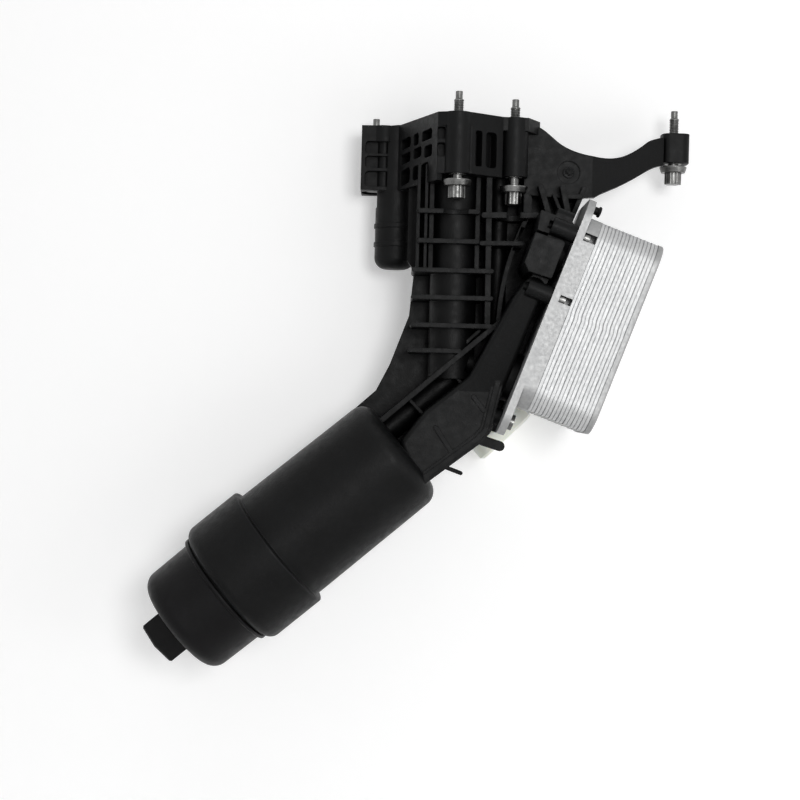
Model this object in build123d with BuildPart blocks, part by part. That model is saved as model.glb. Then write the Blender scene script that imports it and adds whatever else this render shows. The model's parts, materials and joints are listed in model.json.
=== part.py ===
"""Oil filter housing with screw cap, plate oil cooler and four captive mounting bolts.

Millimetres. The origin is the centre of the first bolt's hole on the mounting face, which faces +Z.
X runs along the mounting face to the outer arm, and Y runs away from the front of the housing.
"""
import os
from math import atan2, cos, degrees, hypot, pi, radians, sin

from build123d import *

# Filter bowl, with distances along its axis from the outside of its closed end
FILTER_TILT = 40.2
FILTER_END = (-27.8, 20.0, -197.4)
TUBE_LENGTH = 95.0
TUBE_R = 37.0
TUBE_END_R = 36.0
BOWL_BORE_R = 33.0
BOWL_CORNER = 10.0
BOWL_FLOOR = 4.5
COLLAR_R = 41.0
COLLAR_LENGTH = 39.5
COLLAR_SHOULDER = 6.5
COLLAR_BORE_R = 35.6

# Filter cap
CAP_CLEARANCE = 0.06
CAP_SEAT_GAP = 0.3
CAP_FLANGE_R = 37.2
CAP_FLANGE_THICK = 2.4
CAP_R = 34.8
CAP_HEIGHT = 35.4
CAP_ROUND = 9.0
CAP_WALL = 3.2
CAP_SKIRT = 26.0
HEX_FLATS = 27.0
HEX_HEIGHT = 15.6
O_RING_THICK = 3.6
O_RING_FROM_FLANGE = 7.0

# Filter element and what it stands on
ELEMENT_R = 30.6
ELEMENT_FLOOR_GAP = 6.0
ELEMENT_CAP_GAP = 3.6
END_DISC_THICK = 2.6
DISC_PAD_R = 2.4
DISC_PAD_PITCH_R = 20.0
PLEAT_COUNT = 48
PLEAT_DEPTH = 13.0
CENTRE_TUBE_R = 15.0
CENTRE_TUBE_WALL = 1.4
STANDPIPE_R = 9.0
STANDPIPE_WALL = 2.0
STANDPIPE_GAP = 0.3
PIPE_WINDOW_ROWS = 6
PIPE_WINDOW = (12.0, 4.5)

# Bypass valve on the standpipe's free end, and the inlet through the bowl's floor
VALVE_R = 11.0
VALVE_LENGTH = 22.0
VALVE_PROUD = 1.0
VALVE_SEAT_R = 6.0
VALVE_WIRE = 1.1
CAGE_WINDOW = (9.0, 5.0)
PLUNGER_R = 9.1
PLUNGER_HEIGHT = 6.0
PLUNGER_WALL = 1.6
SPRING_COILS = 4
INLET_R = 5.5
INLET_WALL = 3.0
INLET_UP = 14.0
INLET_BACK = 14.0
INLET_REACH = 60.0
OUTLET_R = 6.0
OUTLET_REACH = 16.0
FLAP_THICK = 1.4

# Mounting face, with bolt places as (x, y) and the depth of the boss under each
BOLT_1 = (0.0, 0.0)
BOLT_2 = (34.4, 16.0)
BOLT_3 = (136.4, 58.5)
BOLT_4 = (-49.4, 65.5)
BOSS_DEPTHS = (36.0, 35.0, 18.0, 24.0)
BOSS_R = 8.2
PLATE_THICK = 8.0
WALL_DEPTH = 40.0
WALL_THICK = 9.0
SLEEVE_R = 5.2
SLEEVE_PROUD = 0.1
BOLT_R = 3.0
SHANK_R = 3.2
BOLT_CLEARANCE = 0.1
HEAD_ROOM = 0.6
HEAD_ROOM_DEPTH = 26.0

# Bolts, with the gap that each stands off its boss
LONG_BOLT = 62.8
SHORT_BOLT = 45.6
BOLT_STAND_OFFS = (3.2, 5.3, 1.8, 4.3)
BOLT_HEAD_R = 5.2
BOLT_HEAD = 7.2
BOLT_FLANGE_R = 8.4
BOLT_FLANGE = 3.6
DOG_R = 2.1
DOG_LENGTH = 4.2
THREAD_LENGTH = 24.0

# Ducts
MAIN_DUCT = (0.0, 24.0)
MAIN_DUCT_R = 14.0
MAIN_PORT_R = 9.5
MAIN_DUCT_END = 156.0
SIDE_DUCT = (26.8, 32.0)
SIDE_DUCT_R = 5.5
SIDE_PORT_R = 3.6
SIDE_DUCT_END = 122.0
COOLANT_DUCT = (-36.0, 61.0)
COOLANT_DUCT_R = 12.5
COOLANT_DUCT_END = 88.0
COOLANT_DUCT_ROUND = 7.0
COOLANT_BANDS = (60.0, 71.5)
BAND_PROUD = 0.7
COOLANT_PORT = (-32.0, 60.0)
COOLANT_PORT_R = 5.5
SEAL_LAND = 1.6
SEAL_WIDTH = 2.4
SEAL_DEPTH = 2.6
SEAL_PROUD = 0.8
SEAL_GAP = 0.3
SEAL_BED = 0.05

# Outer arm, whose front draws back beyond this place
ARM_FRONT = 22.0
ARM_DEPTH = 43.0
ARM_BEND = 82.0
ARM_END = (129.0, 50.0)
ARM_THICK = 5.0
ARM_TOP = ((42, -1), (51, -4.2), (62, -12.8), (74, -18.2), (87, -20.2), (103, -17.2), (116, -8.6), (129, -2.7))
ARM_UNDER = ((129, -20), (113.3, -27.8), (93.7, -39.0), (84.1, -44.3))

# Rib field in front of the web
RIB_FRONT = 5.0
WEB_BACK = 40.0
WEB_THICK = 4.0
RIB = 2.7
BAND_LEVELS = (57.1, 74.8, 92.1, 108.2, 124.7, 139.7)

# Cooler
COOLER_TILT = 20.3
COOLER_SEAT = (51.6, 16.0, -118.5)
COOLER_WIDTH = 76.0
BASE_LENGTH = 146.0
BASE_THICK = 4.4
BASE_CORNER = 12.0
BAND_THICK = 7.4
PLATE_LENGTH = 117.4
PLATE_SHIFT = 4.4
PLATE_CORNER = 13.0
PLATE_PAIRS = 8
PAIR_PITCH = 4.4
LIP_THICK = 1.3
TRAY_FLOOR = 1.0
TRAY_RIM = 3.0
COVER_THICK = 3.4
SEAT_GAP = 4.8
SEAT_THICK = 10.0
SEAT_FRONT = 31.0
SEAT_FRONT_LOW = 16.0
SEAT_BACK = 31.0
SEAT_REACH = 62.0
SEAT_LEDGE = 18.0
SEAT_LEDGE_GAP = 0.3
COOLER_PORT_R = 8.0
COOLER_PORT_PITCH = 78.0
COOLER_PORT_DEPTH = 30.0
SCREW_PLACES = ((50.0, 32.5), (12.0, 32.5), (50.0, -31.5), (12.0, -31.5), (-64.0, 10.0))
SCREW_NOTCH = 1.2
SCREW_BOSS = 0.6
SCREW_HEAD_R = 4.7
SCREW_HEAD = 3.8
SCREW_R = 2.5
SCREW_LENGTH = 16.0
SCREW_CLEARANCE = 0.2

# Transport plug on the rear coolant port, with the place of its outer face
PLUG_CENTRE = (38.0, 71.0, -191.0)
PLUG_TILT = 44.2
PLUG_SIZE = (43.0, 28.0)
PLUG_HEIGHT = 11.0
PLUG_WALL = 2.0
PLUG_GAP = 0.3
STUB_LENGTH = 28.0
STUB_WALL = 2.5
ELBOW_CENTRE = (17.0, -172.0)
ELBOW_R = 11.0

# Lines along the filter axis
TILT = radians(FILTER_TILT)
FILTER_DIR = (-cos(TILT), 0.0, -sin(TILT))
FILTER_SECTION = Plane(origin=FILTER_END, x_dir=(0, 1, 0), z_dir=(-sin(TILT), 0, cos(TILT)))
FILTER_AXIS = Axis(FILTER_END, FILTER_DIR)
COLLAR_END = TUBE_LENGTH + COLLAR_LENGTH
CAP_SEAT = COLLAR_END + CAP_SEAT_GAP
CAP_FACE = CAP_SEAT + CAP_FLANGE_THICK + CAP_HEIGHT
SKIRT_END = CAP_SEAT - CAP_SKIRT
SKIRT_R = COLLAR_BORE_R - CAP_CLEARANCE

# Cooler plane: local x up along the seat, local y to the front, local z away from the housing
SLOPE = radians(COOLER_TILT)
COOLER = Plane(
    origin=COOLER_SEAT,
    x_dir=(sin(SLOPE), 0, cos(SLOPE)),
    z_dir=(cos(SLOPE), 0, -sin(SLOPE)),
)


# Plug plane: local x along the plug, local z out of the port
PLUG_SLOPE = radians(PLUG_TILT)
PLUG_PLANE = Plane(
    origin=PLUG_CENTRE,
    x_dir=(cos(PLUG_SLOPE), 0, sin(PLUG_SLOPE)),
    z_dir=(sin(PLUG_SLOPE), 0, -cos(PLUG_SLOPE)),
)


def across_filter(distance):
    """The plane square to the filter axis at a distance from the closed end, with local x to the front."""
    return Plane(FILTER_SECTION.origin + Vector(*FILTER_DIR) * distance, x_dir=(0, -1, 0), z_dir=FILTER_DIR)


def front_plane(y):
    """The upright plane at depth y, seen from the front, on which local y is Z."""
    return Plane.XZ.offset(-y)


def revolve_profile(points, radii, mode=Mode.ADD):
    """Turn a profile of (radius, distance) points about the filter axis, with its inner corners rounded."""
    with BuildSketch(FILTER_SECTION) as section:
        with BuildLine():
            outline = FilletPolyline(*points, radius=radii)
            Line(outline @ 1, outline @ 0)
        make_face()
    revolve(section.sketch, axis=FILTER_AXIS, mode=mode)


def ring_sketch(outer, inner):
    Circle(outer)
    Circle(inner, mode=Mode.SUBTRACT)


def wall(a, b, thick, y_front, y_back):
    """A flat rib that runs from a to b, both (x, z), between two depths."""
    length = hypot(b[0] - a[0], b[1] - a[1])
    angle = degrees(atan2(b[1] - a[1], b[0] - a[0]))
    with BuildSketch(front_plane(y_front)) as outline:
        with Locations(((a[0] + b[0]) / 2, (a[1] + b[1]) / 2)):
            SlotCenterToCenter(length, thick, rotation=angle)
    extrude(outline.sketch, amount=y_front - y_back)


def flange_wall(a, b, thick, depth):
    """A wall under the mounting face whose front runs from a to b, both (x, y)."""
    length = hypot(b[0] - a[0], b[1] - a[1])
    angle = atan2(b[1] - a[1], b[0] - a[0])
    middle = ((a[0] + b[0]) / 2 - sin(angle) * thick / 2, (a[1] + b[1]) / 2 + cos(angle) * thick / 2)
    with BuildSketch(Plane.XY) as outline:
        with Locations(middle):
            Rectangle(length, thick, rotation=degrees(angle))
    extrude(outline.sketch, amount=-depth)


def wall_pockets(a, b, places, depth):
    """Rounded pockets in the front of a flange wall, each (distance, level, width, height, slant)."""
    angle = atan2(b[1] - a[1], b[0] - a[0])
    face = Plane(origin=(a[0], a[1], 0), x_dir=(cos(angle), sin(angle), 0), z_dir=(sin(angle), -cos(angle), 0))
    with BuildSketch(face) as pockets:
        for distance, level, width, height, slant in places:
            left = distance - width / 2
            right = distance + width / 2
            with BuildLine():
                FilletPolyline(
                    (left, level - height / 2),
                    (right, level - height / 2 + slant),
                    (right, level + height / 2 + slant),
                    (left, level + height / 2),
                    radius=min(width, height) * 0.28,
                    close=True,
                )
            make_face()
    extrude(pockets.sketch, amount=-depth, mode=Mode.SUBTRACT)


def save(part, name):
    """Label a finished piece and write it under its own name."""
    part.label = name
    export_step(part, f"parts/{name}.step")


def seat_point(along, back):
    """The (x, z) of a point that lies so far up the cooler's seat and so far behind its plane."""
    x = COOLER_SEAT[0] + along * sin(SLOPE) - back * cos(SLOPE)
    return x, COOLER_SEAT[2] + along * cos(SLOPE) + back * sin(SLOPE)


os.makedirs("parts", exist_ok=True)

# Front line of the flange wall, from the far left boss to the second boss
WALL_LEFT = (-38.0, 55.0)
WALL_MID = (-12.0, -3.0)
WALL_RIGHT = (8.0, -4.0)
WALL_END = (27.0, 9.0)
BOLTS = (BOLT_1, BOLT_2, BOLT_3, BOLT_4)
LEFT_BLOCK = (21.4, 30.0)
LEFT_BLOCK_CENTRE = (-47.3, 65.0)
LEFT_BLOCK_DEPTH = 40.0
LEFT_BOSS = (-44.0, 56.4)
LEFT_BOSS_R = 8.2
LEFT_SHELF_FLOOR_R = 4.4

STUB_SIZE = tuple(size - 2 * (PLUG_WALL + PLUG_GAP) for size in PLUG_SIZE)
STUB_CORNER = 7.7

# Boxed duct between the cooler's seat and the bowl: its front slopes from the first depth to the second
DUCT_FRONT_TOP = -19.0
DUCT_FRONT_LOW = -1.0
DUCT_CORNER = 6.0
DUCT_ROUND = 3.0
DUCT_SLOPE = (27.0, -45.0, -120.0)
DUCT_OUTLINE = [seat_point(*p) for p in ((19, 4.6), (-76, 4.6), (-118.7, 29.6))]
DUCT_OUTLINE += [(-30.2, -195.0), (-15.3, -175.6), (10.2, -154.5), (34.8, -107.1), seat_point(19, 16)]
BOX_INSIDE = ((-24, -192.5), (-15, -210), (19.0, -186.5), (24.0, -172), (24.5, -155), (8.0, -163))
BOX_WALL = 4.0
FACETS = (
    (((56.0, 24.1), (56.4, 4.3), (45.4, 4.0), (44.4, 21.9)), -18.0),
    (((42.5, 22.4), (43.0, 4.3), (21.0, 4.0), (20.0, 17.9), (24.1, 21.8)), -21.0),
)
RIM_LINE = ((-15.6, -215.6), (2.6, -201.4), (16.1, -191.0), (20.6, -185.6), (27.2, -156.5))
RIM_WIDTH = 6.4
RIM_PROUD = 1.7
DUCT_STIFFENERS = (((-8.6, -185.3), (0.5, -198.5)), ((13.1, -166.6), (19.2, -174.1)))

with BuildPart() as boxed_duct:
    with BuildSketch(front_plane(DUCT_FRONT_TOP)):
        with BuildLine():
            FilletPolyline(*DUCT_OUTLINE, radius=DUCT_CORNER, close=True)
        make_face()
    extrude(amount=DUCT_FRONT_TOP - WEB_BACK)
    slope_start, slope_end, below = (COOLER_SEAT[2] + level for level in DUCT_SLOPE)
    with BuildSketch(Plane.YZ.offset(-60)):
        with BuildLine():
            Polyline(
                (DUCT_FRONT_TOP - 1, slope_start + 3),
                (DUCT_FRONT_TOP, slope_start),
                (DUCT_FRONT_LOW, slope_end),
                (DUCT_FRONT_LOW, below),
                (DUCT_FRONT_TOP - 1, below),
                close=True,
            )
        make_face()
    extrude(amount=160, mode=Mode.SUBTRACT)
    sloped, level_front = boxed_duct.faces().filter_by(lambda f: f.normal_at().Y < -0.9).sort_by(Axis.Z)[::-1]
    crease = [e for e in sloped.edges() if any(e.is_same(other) for other in level_front.edges())]
    rims = [e for f in (sloped, level_front) for e in f.edges() if not any(e.is_same(c) for c in crease)]
    fillet(rims, radius=DUCT_ROUND)

# Slanted front of the outer arm
with BuildPart() as arm_front:
    with BuildSketch(front_plane(ARM_FRONT)):
        with BuildLine():
            top = Spline(*ARM_TOP, tangents=((1, -0.2), (1, 0.3)))
            end = Line(top @ 1, ARM_UNDER[0])
            under = Spline(end @ 1, *ARM_UNDER[1:], tangents=((-1, -0.2), (-1, -0.8)))
            Polyline(under @ 1, (70, -46), (40, -44), top @ 0)
        make_face()
    extrude(amount=ARM_FRONT - BOLT_3[1])
    with BuildSketch(Plane.XY.offset(2)):
        with BuildLine():
            Polyline(
                (ARM_BEND, ARM_FRONT),
                ARM_END,
                (ARM_END[0] + 1, ARM_END[1] + ARM_THICK),
                (ARM_BEND - 3, ARM_FRONT + ARM_THICK),
                close=True,
            )
        make_face()
    extrude(amount=-60, mode=Mode.INTERSECT)

with BuildPart() as coolant_duct:
    with BuildSketch(Plane.XY):
        with Locations(COOLANT_DUCT):
            Circle(COOLANT_DUCT_R)
    extrude(amount=-COOLANT_DUCT_END)
    fillet(coolant_duct.faces().sort_by(Axis.Z)[0].edges(), radius=COOLANT_DUCT_ROUND)

# The housing moulding
with BuildPart() as housing:
    # bowl and collar
    revolve_profile(
        [
            (0, 0),
            (TUBE_END_R, 0),
            (TUBE_R, TUBE_LENGTH),
            (COLLAR_R, TUBE_LENGTH),
            (COLLAR_R, COLLAR_END),
            (0, COLLAR_END),
        ],
        [BOWL_CORNER, 0.8, 1.5, COLLAR_SHOULDER],
    )
    # ducts down from the mounting face
    for (x, y), r, end in (
        (MAIN_DUCT, MAIN_DUCT_R, MAIN_DUCT_END),
        (SIDE_DUCT, SIDE_DUCT_R, SIDE_DUCT_END),
    ):
        with BuildSketch(Plane.XY):
            with Locations((x, y)):
                Circle(r)
        extrude(amount=-end)
    add(coolant_duct.part)
    for level in COOLANT_BANDS:
        with BuildSketch(Plane.XY.offset(-level)):
            with Locations(COOLANT_DUCT):
                Circle(COOLANT_DUCT_R + BAND_PROUD)
        extrude(amount=-RIB)
    # mounting plate and the bosses under it
    with BuildSketch(Plane.XY):
        with BuildLine():
            Polyline(
                (-58, 50),
                (-38, 50),
                WALL_LEFT,
                WALL_MID,
                (-6, -5),
                (6, -5),
                WALL_RIGHT,
                WALL_END,
                (42, 10),
                (50, 24),
                (44, 46),
                (6, 50),
                (-14, 66),
                (-30, 79),
                (-58, 79),
                close=True,
            )
        make_face()
    extrude(amount=-PLATE_THICK)
    for (x, y), depth in zip(BOLTS, BOSS_DEPTHS):
        with BuildSketch(Plane.XY):
            with Locations((x, y)):
                Circle(BOSS_R)
        extrude(amount=-depth)
    # deep walls of the flange, with their pockets
    flange_wall(WALL_LEFT, WALL_MID, WALL_THICK, WALL_DEPTH)
    flange_wall(WALL_MID, WALL_RIGHT, WALL_THICK, BOSS_DEPTHS[0])
    flange_wall(WALL_RIGHT, WALL_END, WALL_THICK, BOSS_DEPTHS[0])
    with BuildSketch(Plane.XY):
        with Locations(LEFT_BLOCK_CENTRE):
            Rectangle(*LEFT_BLOCK)
    extrude(amount=-LEFT_BLOCK_DEPTH)
    with BuildSketch(Plane.XY):
        with Locations(LEFT_BOSS):
            Circle(LEFT_BOSS_R)
    extrude(amount=-10)
    # web between the coolant duct and the ribs
    with BuildSketch(front_plane(WEB_BACK - WEB_THICK)):
        with BuildLine():
            Polyline((-28, -36), (-28, -84), (-20, -96), (-20, -20), close=True)
        make_face()
    extrude(amount=-WEB_THICK - COOLANT_DUCT_R / 2)
    # web behind the ribs
    with BuildSketch(front_plane(WEB_BACK - WEB_THICK)):
        with BuildLine():
            Polyline(
                (-24, -20),
                (-24, -95),
                (-26, -118),
                (-37, -148),
                (-45, -164),
                (-66, -183),
                (-40, -200),
                (-17, -218),
                (24, -188),
                (36, -150),
                (48, -105),
                (44, -20),
                close=True,
            )
        make_face()
    extrude(amount=-WEB_THICK)
    # cross bands over the main duct
    for level in BAND_LEVELS[:2]:
        wall((-21, -level), (13, -level), RIB, RIB_FRONT, WEB_BACK)
    for level in BAND_LEVELS[2:5]:
        wall((-24, -level), (22, -level), RIB, RIB_FRONT, WEB_BACK)
    wall((-25, -BAND_LEVELS[5]), (4, -BAND_LEVELS[5]), RIB, RIB_FRONT, WEB_BACK)
    # upright ribs beside the duct
    for x in (-22.0, -17.5):
        wall((x, -30), (x, -91), 1.8, RIB_FRONT + 4, WEB_BACK)
    for x in (-14.2, 13.4):
        wall((x, -30), (x, -92), RIB, RIB_FRONT + 8, WEB_BACK)
    wall((19.5, -30), (20.5, -122), 3.4, RIB_FRONT + 4, WEB_BACK)
    # diagonal ribs to the bowl
    wall((27.7, -121.9), (-46.2, -186.5), RIB + 0.3, RIB_FRONT, WEB_BACK)
    wall((16.0, -127.0), (-12.8, -154.3), 1.8, RIB_FRONT + 8, WEB_BACK)
    wall((-1.7, -149.3), (8.7, -161.4), 1.8, RIB_FRONT + 8, WEB_BACK)
    wall((-23.6, -169.9), (-15.1, -178.6), 1.8, RIB_FRONT + 8, WEB_BACK)
    # curved rib to the cooler seat
    with BuildSketch(front_plane(RIB_FRONT + 8)):
        with BuildLine() as curved:
            ThreePointArc((43.3, -58.0), (31.6, -90.0), (27.2, -122.0))
        trace(line_width=RIB)
    extrude(amount=RIB_FRONT + 8 - WEB_BACK)
    # boxed duct from the bowl's centre to the cooler, with the stepped rim of its welded cover
    add(boxed_duct.part)
    for start, end in zip(RIM_LINE[:-1], RIM_LINE[1:]):
        wall(start, end, RIM_WIDTH, DUCT_FRONT_LOW - RIM_PROUD / 2, WEB_BACK)
        wall(start, end, RIM_WIDTH / 2, DUCT_FRONT_LOW - RIM_PROUD, WEB_BACK)
    for start, end in DUCT_STIFFENERS:
        wall(start, end, RIB, DUCT_FRONT_LOW - RIM_PROUD / 2, RIB_FRONT)
    # inlet duct behind the ribs
    with BuildSketch(across_filter(1)):
        with Locations((-INLET_BACK, INLET_UP)):
            Circle(INLET_R + INLET_WALL)
    extrude(amount=-INLET_REACH - INLET_WALL)
    # seat bar of the cooler, and the port bosses on it
    with BuildSketch(COOLER.offset(-SEAT_GAP - SEAT_THICK)):
        with BuildLine():
            FilletPolyline(
                (SEAT_REACH, SEAT_FRONT),
                (14, SEAT_FRONT - 2),
                (-45, SEAT_FRONT_LOW),
                (-SEAT_REACH - 8, SEAT_FRONT_LOW - 1),
                (-SEAT_REACH - 8, 4),
                (-SEAT_REACH, -SEAT_BACK),
                (SEAT_REACH, -SEAT_BACK),
                radius=4.0,
                close=True,
            )
        make_face()
    extrude(amount=SEAT_THICK)
    with BuildSketch(COOLER.offset(-SEAT_GAP)):
        with Locations((0, -SEAT_BACK + SEAT_LEDGE / 2)):
            Rectangle(2 * SEAT_REACH, SEAT_LEDGE)
    extrude(amount=SEAT_GAP - SEAT_LEDGE_GAP)
    # moulded facets in front of the seat's upper end
    for outline, front in FACETS:
        with BuildSketch(front_plane(front)):
            with BuildLine():
                FilletPolyline(*(seat_point(*p) for p in outline), radius=0.8, close=True)
            make_face()
        extrude(amount=front - WEB_BACK)
    with BuildSketch(COOLER.offset(-SEAT_GAP - SEAT_THICK)):
        with Locations((COOLER_PORT_PITCH / 2, 0), (-COOLER_PORT_PITCH / 2, 0)):
            Circle(COOLER_PORT_R + 7)
        with Locations(*SCREW_PLACES):
            Circle(SCREW_HEAD_R + SCREW_BOSS)
    extrude(amount=SEAT_GAP + SEAT_THICK)
    # web from the seat back to the ribs
    with BuildSketch(front_plane(WEB_BACK - WEB_THICK)):
        with BuildLine():
            Polyline((20, -30), (44, -30), (79, -38), (70, -60), (46, -130), (22, -190), (10, -150), close=True)
        make_face()
    extrude(amount=-WEB_THICK)
    # gusset, arm and struts under the outer boss
    with BuildSketch(front_plane(ARM_FRONT)):
        with BuildLine():
            top = Spline(*ARM_TOP, tangents=((1, -0.2), (1, 0.3)))
            end = Line(top @ 1, ARM_UNDER[0])
            under = Spline(end @ 1, *ARM_UNDER[1:], tangents=((-1, -0.2), (-1, -0.8)))
            Polyline(under @ 1, (70, -46), (40, -44), top @ 0)
        make_face()
    extrude(amount=-ARM_THICK)
    with BuildSketch(front_plane(ARM_FRONT)):
        with BuildLine():
            top = Spline(*ARM_TOP, tangents=((1, -0.2), (1, 0.3)))
            lower = [(x, z - ARM_THICK) for x, z in ARM_TOP[::-1]]
            under = Spline(*lower, tangents=((-1, -0.3), (-1, 0.2)))
            Line(top @ 1, under @ 0)
            Line(under @ 1, top @ 0)
        make_face()
    extrude(amount=-ARM_DEPTH)
    with BuildSketch(Plane.XY):
        with Locations((BOLT_3[0] + 0.6, BOLT_3[1])):
            RectangleRounded(17, 17, 5)
    extrude(amount=-BOSS_DEPTHS[2])
    with BuildSketch(Plane.XY.offset(2)):
        with BuildLine():
            Polyline((ARM_BEND, ARM_FRONT), (ARM_BEND, 10), (160, 10), (160, ARM_END[1]), ARM_END, close=True)
        make_face()
    extrude(amount=-60, mode=Mode.SUBTRACT)
    add(arm_front.part)
    wall((50.7, -40), (56.4, -58.5), 3.2, 14, WEB_BACK)
    wall((63.8, -40), (68.4, -60.8), 3.4, 14, WEB_BACK)
    wall((59.0, -44.5), (66.1, -60.8), 2.0, 18, WEB_BACK)
    wall((66.9, -45.3), (74.5, -45.1), RIB, 16, WEB_BACK)
    wall((77.0, -40), (67.6, -64.0), RIB, 18, WEB_BACK)
    # cross ribs over the second duct, and the tab behind the second bolt
    wall((17.0, -58.6), (48.0, -58.0), 3.4, 7.8, WEB_BACK)
    wall((15.8, -75.3), (40.0, -74.8), RIB, 8, WEB_BACK)
    wall((41.8, -48.4), (41.8, -55.0), 6.6, 9, WEB_BACK)
    # tabs at the lower end of the seat
    wall((20, -192.5), (30, -195.5), 6.0, 14, 26)
    wall((-1.4, -209), (7, -212), 2.4, 10, 14)
    # stub of the rear coolant port
    with BuildSketch(front_plane(WEB_BACK - WEB_THICK)):
        with Locations(ELBOW_CENTRE):
            Circle(ELBOW_R)
    extrude(amount=-(PLUG_CENTRE[1] - WEB_BACK + WEB_THICK))
    with BuildSketch(PLUG_PLANE.offset(-PLUG_WALL - PLUG_GAP)):
        RectangleRounded(*STUB_SIZE, STUB_CORNER)
    extrude(amount=-STUB_LENGTH)
    # honeycomb pockets and windows
    wall_pockets(
        WALL_LEFT,
        WALL_MID,
        [
            (18.2, -13.2, 14, 6.4, 1.2),
            (18.2, -22.3, 14, 6.2, 1.2),
            (18.2, -34.0, 14, 9.6, 2.0),
            (33.0, -12.6, 7.5, 7.4, 0.8),
            (35.3, -20.9, 11.5, 6.4, 0.8),
            (34.2, -32.6, 10, 8.6, 0.4),
            (48.5, -12.0, 14, 6.2, 0.8),
            (50.5, -21.6, 11, 7.2, 0.4),
            (46.0, -33.4, 11, 9.0, 1.6),
        ],
        6.0,
    )
    wall_pockets((-58, 50), (-36, 50), [(11.2, z, 17.4, h, 0) for z, h in ((-13.6, 7.6), (-22.6, 7.4), (-33.0, 9.6))], 4.2)
    wall_pockets(WALL_MID, WALL_RIGHT, [(2.2, -12.4, 4.6, 7.4, 0), (2.2, -22.2, 4.6, 8.4, 0)], 6.0)
    wall_pockets(WALL_RIGHT, WALL_END, [(5.2, -20.8, 5, 21, 0), (14.5, -20.8, 8, 21, 0)], 6.0)
    # round floors of the left pockets
    with BuildSketch(Plane.XY):
        with Locations(LEFT_BOSS):
            Circle(LEFT_SHELF_FLOOR_R)
    extrude(amount=-LEFT_BLOCK_DEPTH)
    # gate mark on the gusset
    with BuildSketch(front_plane(22)):
        with Locations((67.7, -30.1)):
            ring_sketch(6.9, 3.3)
    extrude(amount=-1.0, mode=Mode.SUBTRACT)
    # bowl bore and thread bore
    revolve_profile(
        [(0, BOWL_FLOOR), (BOWL_BORE_R, BOWL_FLOOR), (BOWL_BORE_R, SKIRT_END - 4), (COLLAR_BORE_R, SKIRT_END - 2)]
        + [(COLLAR_BORE_R, COLLAR_END + 1), (0, COLLAR_END + 1)],
        [4, 0.5, 0.5, 0.1],
        mode=Mode.SUBTRACT,
    )
    # ports, with their seal grooves
    for (x, y), r, end in (
        (MAIN_DUCT, MAIN_PORT_R, MAIN_DUCT_END - 4),
        (SIDE_DUCT, SIDE_PORT_R, SIDE_DUCT_END - 4),
        (COOLANT_PORT, COOLANT_PORT_R, COOLANT_DUCT_END - 4),
    ):
        with BuildSketch(Plane.XY):
            with Locations((x, y)):
                Circle(r)
        extrude(amount=-end, mode=Mode.SUBTRACT)
        with BuildSketch(Plane.XY):
            with Locations((x, y)):
                Circle(r + SEAL_LAND + SEAL_WIDTH + SEAL_GAP)
                Circle(r + SEAL_LAND - SEAL_GAP, mode=Mode.SUBTRACT)
        extrude(amount=-SEAL_DEPTH, mode=Mode.SUBTRACT)
    # oil way from the bowl's centre through the boxed duct, and the inlet from the main duct
    with BuildSketch(across_filter(BOWL_FLOOR + 1)):
        Circle(OUTLET_R)
    extrude(amount=-OUTLET_REACH - BOWL_FLOOR - 1, mode=Mode.SUBTRACT)
    with BuildSketch(front_plane(BOX_WALL)):
        with BuildLine():
            FilletPolyline(*BOX_INSIDE, radius=4.0, close=True)
        make_face()
    extrude(amount=-(WEB_BACK - 2 * BOX_WALL), mode=Mode.SUBTRACT)
    with BuildSketch(across_filter(BOWL_FLOOR + 1)):
        with Locations((-INLET_BACK, INLET_UP)):
            Circle(INLET_R)
    extrude(amount=-INLET_REACH - BOWL_FLOOR - 1, mode=Mode.SUBTRACT)
    # way out through the rear coolant port
    with BuildSketch(PLUG_PLANE.offset(-PLUG_WALL)):
        RectangleRounded(*(size - 2 * STUB_WALL for size in STUB_SIZE), STUB_CORNER - STUB_WALL)
    extrude(amount=-STUB_LENGTH + STUB_WALL, mode=Mode.SUBTRACT)
    # cooler ports with their grooves, and the screw holes
    with BuildSketch(COOLER):
        with Locations((COOLER_PORT_PITCH / 2, 0), (-COOLER_PORT_PITCH / 2, 0)):
            Circle(COOLER_PORT_R)
    extrude(amount=-COOLER_PORT_DEPTH, mode=Mode.SUBTRACT)
    with BuildSketch(COOLER):
        with Locations((COOLER_PORT_PITCH / 2, 0), (-COOLER_PORT_PITCH / 2, 0)):
            Circle(COOLER_PORT_R + SEAL_LAND + SEAL_WIDTH + SEAL_GAP)
            Circle(COOLER_PORT_R + SEAL_LAND - SEAL_GAP, mode=Mode.SUBTRACT)
    extrude(amount=-SEAL_DEPTH, mode=Mode.SUBTRACT)
    with BuildSketch(COOLER):
        with Locations(*SCREW_PLACES):
            Circle(SCREW_R + SCREW_CLEARANCE)
    extrude(amount=-SCREW_LENGTH - 1, mode=Mode.SUBTRACT)
    # holes for the compression sleeves, and room for the bolt heads under them
    for (x, y), depth in zip(BOLTS, BOSS_DEPTHS):
        with BuildSketch(Plane.XY):
            with Locations((x, y)):
                Circle(SLEEVE_R)
        extrude(amount=-depth, mode=Mode.SUBTRACT)
        with BuildSketch(Plane.XY.offset(-depth)):
            with Locations((x, y)):
                Circle(BOLT_FLANGE_R + HEAD_ROOM)
        extrude(amount=-HEAD_ROOM_DEPTH, mode=Mode.SUBTRACT)
save(housing.part, "housing")


def turned(points, radii=0.3):
    """A closed profile of (radius, distance) points that stays off the filter axis."""
    with BuildSketch(FILTER_SECTION) as section:
        with BuildLine():
            FilletPolyline(*points, radius=radii, close=True)
        make_face()
    revolve(section.sketch, axis=FILTER_AXIS)


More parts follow.
